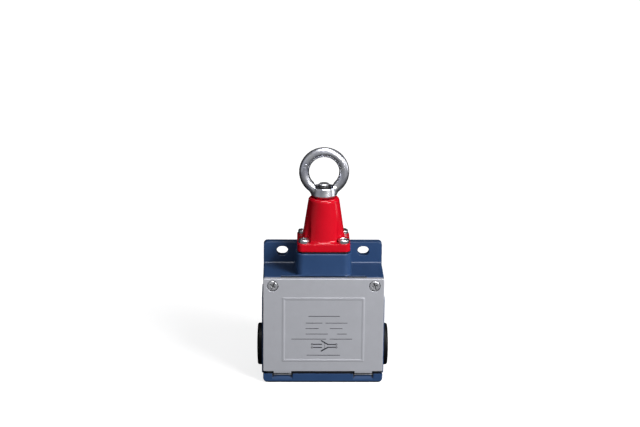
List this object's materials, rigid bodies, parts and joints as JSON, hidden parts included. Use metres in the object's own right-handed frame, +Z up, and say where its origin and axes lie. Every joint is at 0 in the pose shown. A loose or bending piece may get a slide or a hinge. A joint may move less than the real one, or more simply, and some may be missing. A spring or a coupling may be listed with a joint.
{
  "type": "rope pull switch",
  "caption": "Blue die-cast safety switch body with a grey hinged front cover, black plugs and a tapered red pull head that carries a zinc-plated eye nut.",
  "frame": {"origin": "middle of the two fixing slots, on the flat back face", "axes": "+Z up along the pull rod, front cover faces -Y, +X to the right seen from the front"},
  "size_m": [0.0662, 0.0303, 0.1186],
  "materials": {
    "blue_casting": "satin",
    "red_casting": "gloss",
    "silver_cover": "satin",
    "zinc_plate": "bright zinc plated",
    "screw_steel": "zinc plated",
    "spring_steel": "drawn wire",
    "dark_steel": "phosphated",
    "black_rubber": "matt",
    "black_plastic": "moulded, satin",
    "block_plastic": "moulded",
    "grey_plastic": "moulded",
    "white_plastic": "moulded",
    "brass": "rolled strip",
    "bronze": "turned",
    "silver_tip": "silver contact alloy"
  },
  "bodies": {
    "housing": {"body_casting": "blue_casting", "cover_gasket": "black_rubber", "pull_head": "red_casting", "head_gasket": "black_rubber", "head_screws": "screw_steel", "head_base_plate": "zinc_plate", "guide_bush": "bronze", "rod_seal": "black_rubber", "return_spring": "spring_steel", "contact_block_base": "block_plastic", "contact_block_cover": "grey_plastic", "plunger_spring": "spring_steel", "fixed_contacts_closed": "brass", "fixed_contacts_open": "brass", "fixed_contact_tips": "silver_tip", "terminal_screws": "screw_steel", "terminal_clamps": "zinc_plate", "contact_block_screws": "screw_steel", "earth_screw": "brass", "earth_washer": "zinc_plate", "blanking_plug_left": "black_plastic", "blanking_plug_right": "black_plastic", "plug_seals": "black_rubber"},
    "cover": {"front_cover": "silver_cover", "cover_screws": "screw_steel", "cover_screw_rings": "spring_steel"},
    "seat": {"spring_seat": "zinc_plate"},
    "rod": {"pull_rod": "zinc_plate", "rod_circlip": "dark_steel", "eye_nut": "zinc_plate"},
    "plunger": {"contact_plunger": "white_plastic", "contact_spring": "spring_steel"},
    "bridge": {"contact_bridge": "brass", "bridge_contact_tips": "silver_tip"}
  },
  "joints": [
    {"name": "rod_pull", "type": "slide", "parent": "housing", "child": "seat", "axis": [0, 0, 1], "range_m": [0, 0.006], "stiffness_N_per_m": 2000, "springref_m": -0.004, "deforming": ["return_spring"]},
    {"name": "eye_swivel", "type": "hinge", "parent": "seat", "child": "rod", "pos_m": [0, -0.015, 0.03], "axis": [0, 0, 1], "continuous": true},
    {"name": "contact_plunger_slide", "type": "slide", "parent": "housing", "child": "plunger", "axis": [0, 0, 1], "range_m": [0, 0.006], "deforming": ["plunger_spring"]},
    {"name": "contact_bridge_slide", "type": "slide", "parent": "plunger", "child": "bridge", "axis": [0, 0, 1], "range_m": [-0.0036, 0], "deforming": ["contact_spring"]},
    {"name": "cover_hinge", "type": "hinge", "parent": "housing", "child": "cover", "pos_m": [0, -0.0286, -0.0573], "axis": [1, 0, 0], "range_deg": [0, 80]}
  ],
  "couplings": [
    {"joint": "contact_plunger_slide", "follows": "rod_pull", "ratio": 1},
    {"joint": "contact_bridge_slide", "follows": "rod_pull", "ratio": -0.6}
  ]
}
